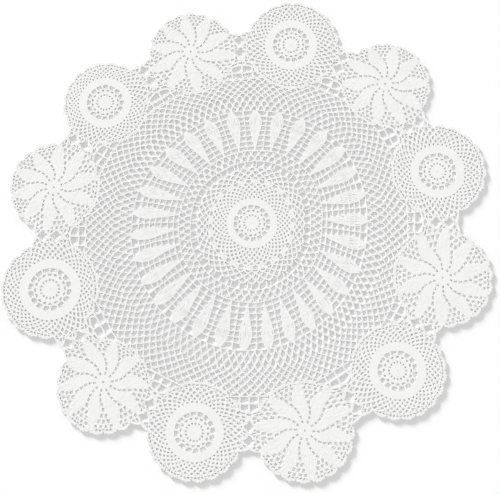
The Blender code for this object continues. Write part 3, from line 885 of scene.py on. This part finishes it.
def cloth_place(radius, degrees):
    """A place on the centre's pattern, whose rounds sway and slide as they go outward."""
    radius, degrees = np.broadcast_arrays(radius, degrees)
    turns, *columns = (periodic(degrees, column) for column in np.array(SWAY).T)
    sways = [0.0 * degrees, *columns, (ring_reach(degrees) - 1.0) * RIM_RADIUS]
    out = 0.0 * degrees
    radii = (*SWAY_RADII, RIM_RADIUS)
    for (low, high), (here, there) in zip(zip(radii, radii[1:]), zip(sways, sways[1:])):
        share = np.clip((radius - low) / (high - low), 0.0, 1.0)
        part = (radius >= low) & ((radius < high) | (high == RIM_RADIUS))
        out = np.where(part, here + (there - here) * share, out)
    slide = ease(radius, *SLIDE_SPAN)[..., None] * RING_MIDDLE
    turned = degrees + turns * ease(radius, *TURN_SPAN)
    return handmade(slide + polar(radius + out, turned))


def clear_of_medallions(paths):
    """Drop the loops that a medallion covers, and run the others along its rim."""
    kept = np.ones(len(paths), bool)
    for index in range(len(MEDALLIONS)):
        middle = medallion_middle(index)
        reach = medallion_radius(index) + NET_LIMIT
        offset = paths - middle
        far = np.linalg.norm(offset, axis=-1)
        kept &= far.max(axis=1) > reach
        push = np.maximum(far, reach) / np.maximum(far, TINY)
        paths = middle + offset * push[..., None]
    return paths[kept], kept


def leaf_half_width(radius):
    """A leaf's half width at a radius."""
    return np.interp(radius, *np.array(LEAF_ROWS).T)


def leaf_ring(yarn):
    """Thirty leaves of close stitches between ladders of open squares."""
    leaf_middles = FIRST_LEAF + 360.0 / LEAVES * np.arange(LEAVES)
    ladders = leaf_middles + 180.0 / LEAVES
    circle_cord(yarn, cloth_place, LEAF_ROUNDS[0])
    for low, high in zip(LEAF_ROUNDS, LEAF_ROUNDS[1:]):
        circle_cord(yarn, cloth_place, high)
        post = WIDE_POST if high == LEAF_ROUNDS[-1] else LADDER_POST
        yarn.posts(cloth_place(low, ladders), cloth_place(high, ladders), post)
        widths = [leaf_half_width(radius) - LEAF_POST / 2.0 for radius in (low, high)]
        count = round(2.0 * max(widths) / LEAF_PITCH) + 1
        share = np.linspace(-1.0, 1.0, count)
        for middle in leaf_middles:
            drift = draws.uniform(-LEAF_DRIFT, LEAF_DRIFT, (2, count))
            feet, heads = (
                cloth_place(radius, middle + np.degrees((share * width + slide) / radius))
                for radius, width, slide in zip((low, high), widths, drift)
            )
            yarn.posts(feet, heads, LEAF_POST)


def wedge(yarn, index):
    """The cords that fill the corner between two medallions."""
    meeting, across, along = join_frame(index, 1)
    for cord in WEDGE_CORDS:
        points = []
        for share, outward in cord.points:
            near = index + 1 if share > 0.0 else index
            reach = medallion_radius(near) + NET_LIMIT
            stand_off = abs((medallion_middle(near) - meeting) @ across)
            gap = stand_off - math.sqrt(reach**2 - outward**2)
            points.append(meeting + across * share * gap + along * outward)
        length = np.linalg.norm(np.diff(points, axis=0), axis=1).sum()
        count = BEAD_POINTS * round(length / CHAIN_STITCH) + 1
        yarn.chain(handmade(rounded(points, count))[None], cord.width)


def cluster_round(yarn, start):
    """Walls, with a cluster of stitches in every second space between them."""
    low, high = CLUSTER_SPAN
    step = 360.0 / CLUSTER_LOOPS
    walls = start + step * np.arange(CLUSTER_LOOPS)
    yarn.posts(cloth_place(low, walls), cloth_place(high, walls), CLUSTER_WALL)
    filled = walls[::2] + step * 0.5
    for shift in CLUSTER_SHIFTS:
        feet = cloth_place(low, filled + CLUSTER_GATHER * shift)
        yarn.posts(feet, cloth_place(high, filled + shift), CLUSTER_POST, CLUSTER_HEAD)
    circle_cord(yarn, cloth_place, high)


def uneven_round(yarn):
    """Uneven squares: two wide ones and a narrow one in turn."""
    low, high = UNEVEN_SPAN
    starts = UNEVEN_PERIOD * np.arange(round(360.0 / UNEVEN_PERIOD))
    for offset in UNEVEN_POSTS:
        degrees = starts + offset
        yarn.posts(cloth_place(low, degrees), cloth_place(high, degrees), LADDER_POST)
    circle_cord(yarn, cloth_place, high)


def centre_pieces():
    """The centre round, in three pieces of yarn."""
    inner = Yarn()
    rosette(inner, cloth_place, ROSETTE_TURN)
    start = net(inner, cloth_place, INNER_NET, 0.0, NET_WIDTH)
    cluster_round(inner, start)
    start = net(inner, cloth_place, MIDDLE_NET, start, MIDDLE_WIDTH)
    uneven_round(inner)
    net(inner, cloth_place, ARCH_NET, FIRST_LEAF)
    leaves = Yarn()
    leaf_ring(leaves)
    outer = Yarn()
    net(outer, cloth_place, OUTER_NET, 0.0, keep=clear_of_medallions)
    for index in range(len(MEDALLIONS)):
        wedge(outer, index)
    return {"yarn_centre_inner": inner, "yarn_centre_leaves": leaves, "yarn_centre_outer": outer}


def medallion_yarn(index):
    """All the yarn of one medallion."""
    row = MEDALLIONS[index]
    yarn = Yarn()
    if row.pattern == "wheel":
        tips = tip_bearings_near(index, None)
        place = medallion_place(index, tips)
        rosette(yarn, place, row.turn)
        close_round(yarn, place, RING_POSTS, row.turn, ROSETTE_RING[1], WHEEL_NET[0].low)
        # The last round's tops lie under the tips of the scallops
        start = tips[0] - 180.0 / WHEEL_NET[0].count * len(WHEEL_NET)
        net(yarn, place, WHEEL_NET, start, NET_WIDTH)
    else:
        tips = tip_bearings_near(index, row.turn + 180.0 / SCALLOPS)
        place = medallion_place(index, tips)
        pinwheel_face(yarn, place, row.turn)
        petal_heads(yarn, index, place, row.turn, tips)
    rim(yarn, index, place, tips)
    return yarn


def cotton(name):
    """White cotton: twisted plies and fibres in the bump, and faint changes of tone."""
    material = bpy.data.materials.new(name)
    material.use_nodes = True
    nodes, links = material.node_tree.nodes, material.node_tree.links
    shader = nodes["Principled BSDF"]
    for socket, value in COTTON_SHADER.items():
        shader.inputs[socket].default_value = value
    coordinates = nodes.new("ShaderNodeTexCoord")
    split = nodes.new("ShaderNodeSeparateXYZ")
    links.new(coordinates.outputs["UV"], split.inputs[0])

    def noise(scale, detail):
        node = nodes.new("ShaderNodeTexNoise")
        node.inputs["Scale"].default_value = scale
        node.inputs["Detail"].default_value = detail
        links.new(coordinates.outputs["Object"], node.inputs["Vector"])
        return node.outputs["Fac"]

    def math_node(operation, first, second=None):
        node = nodes.new("ShaderNodeMath")
        node.operation = operation
        for socket, value in zip(node.inputs, (first, second)):
            if isinstance(value, (int, float)):
                socket.default_value = value
            elif value is not None:
                links.new(value, socket)
        return node.outputs[0]

    plies = math_node("MULTIPLY", split.outputs["X"], 2.0 * math.pi / PLY_PITCH)
    around = math_node("MULTIPLY", split.outputs["Y"], 2.0 * math.pi * PLY_STARTS)
    twist = math_node("SINE", math_node("ADD", plies, around))

    fibres = noise(FIBRE_SCALE, FIBRE_DETAIL)
    relief = math_node("ADD", math_node("MULTIPLY", twist, PLY_RELIEF), fibres)
    bump = nodes.new("ShaderNodeBump")
    bump.inputs["Strength"].default_value = BUMP_STRENGTH
    bump.inputs["Distance"].default_value = BUMP_DEPTH
    links.new(relief, bump.inputs["Height"])
    links.new(bump.outputs["Normal"], shader.inputs["Normal"])

    ramp = nodes.new("ShaderNodeValToRGB")
    for element, position, tone in zip(ramp.color_ramp.elements, BLOTCH_SPAN, (BLOTCH_TONE, 1.0)):
        element.position = position
        element.color = (*[channel * tone for channel in COTTON_TONE], 1.0)
    links.new(noise(BLOTCH_SCALE, BLOTCH_DETAIL), ramp.inputs["Fac"])
    links.new(ramp.outputs["Color"], shader.inputs["Base Color"])
    return material


def dress(piece, node, material):
    """Set a piece of yarn in the frame in place of its solid."""
    piece.data.materials.append(material)
    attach(piece, "root")
    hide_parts(node)


def add_centre():
    """The centre round's yarn, each piece a ring of the one sheet."""
    material = cotton("centre_yarn")
    rings = {
        "yarn_centre_inner": (0.0, LEAF_ROUNDS[0]),
        "yarn_centre_leaves": (LEAF_ROUNDS[0], LEAF_ROUNDS[-1]),
        "yarn_centre_outer": (LEAF_ROUNDS[-1], RIM_RADIUS),
    }
    for name, yarn in centre_pieces().items():
        inner, outer = rings[name]
        piece = yarn.build(name)
        dress(piece, "centre_round", material)


def add_medallions():
    """The twelve medallions' yarn."""
    materials = {pattern: cotton(pattern + "_yarn") for pattern in ("wheel", "pinwheel")}
    for index, row in enumerate(MEDALLIONS):
        piece = medallion_yarn(index).build("yarn_" + row.name)
        outline = np.concatenate(scallop_edges(index, COLUMNS * SHELL_POSTS + 1))
        dress(piece, row.name, materials[row.pattern])


def add_floor():
    """A pale floor under the cloth."""
    bpy.ops.mesh.primitive_plane_add(size=FLOOR_SIZE)
    floor = bpy.context.active_object
    floor.name = "floor"
    paint = bpy.data.materials.new("floor_white")
    paint.use_nodes = True
    shader = paint.node_tree.nodes["Principled BSDF"]
    shader.inputs["Base Color"].default_value = (FLOOR_WHITE, FLOOR_WHITE, FLOOR_WHITE, 1.0)
    shader.inputs["Roughness"].default_value = 1.0
    shader.inputs["Specular IOR Level"].default_value = 0.0
    floor.data.materials.append(paint)
    floor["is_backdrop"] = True


def add_light():
    """Soft light from all round, a little fuller from the upper left."""
    sun = bpy.data.lights.new("sun", "SUN")
    sun.energy = SUN_SHARE * math.pi / math.sin(SUN_HEIGHT) / FLOOR_WHITE
    sun.angle = SUN_SOFTNESS
    lamp = bpy.data.objects.new("sun", sun)
    travel = Vector((*polar(1.0, SUN_TRAVEL), -math.tan(SUN_HEIGHT)))
    lamp.rotation_euler = travel.to_track_quat("-Z", "Y").to_euler()
    bpy.context.scene.collection.objects.link(lamp)

    world = bpy.data.worlds.new("soft_box")
    bpy.context.scene.world = world
    world.use_nodes = True
    nodes, links = world.node_tree.nodes, world.node_tree.links
    coordinates = nodes.new("ShaderNodeTexCoord")
    split = nodes.new("ShaderNodeSeparateXYZ")
    links.new(coordinates.outputs["Generated"], split.inputs[0])
    fade = nodes.new("ShaderNodeMapRange")
    fade.interpolation_type = "SMOOTHSTEP"
    fade.inputs["From Min"].default_value, fade.inputs["From Max"].default_value = BAND_TOP
    height = np.linspace(0.0, 1.0, SKY_SAMPLES)
    weight = ((1.0 - ease(height, *BAND_TOP)) * 2.0 * height).mean()
    sky = SKY_SHARE / FLOOR_WHITE
    fade.inputs["To Min"].default_value = sky + BAND_SHARE / weight / FLOOR_WHITE
    fade.inputs["To Max"].default_value = sky
    links.new(split.outputs["Z"], fade.inputs["Value"])
    links.new(fade.outputs[0], nodes["Background"].inputs["Strength"])
    nodes["Background"].inputs["Color"].default_value = (1.0, 1.0, 1.0, 1.0)


def add_camera():
    """The photo's view: almost straight down, from the near side."""
    camera = bpy.data.cameras.new("camera")
    camera.sensor_width = SENSOR
    camera.lens = FOCAL_PIXELS * SENSOR / IMAGE_WIDTH
    view = bpy.data.objects.new("camera", camera)
    back = Vector((0.0, -math.sin(CAMERA_TILT), math.cos(CAMERA_TILT)))
    view.location = CAMERA_AIM + back * CAMERA_DISTANCE
    view.rotation_euler = (CAMERA_TILT, 0.0, 0.0)
    bpy.context.scene.collection.objects.link(view)
    bpy.context.scene.camera = view


add_camera()
add_light()
add_floor()
add_centre()
add_medallions()
bpy.context.scene.view_settings.view_transform = "Standard"

[[list(corner) for corner in box] for box in (SOLID_BOUNDS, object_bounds())]
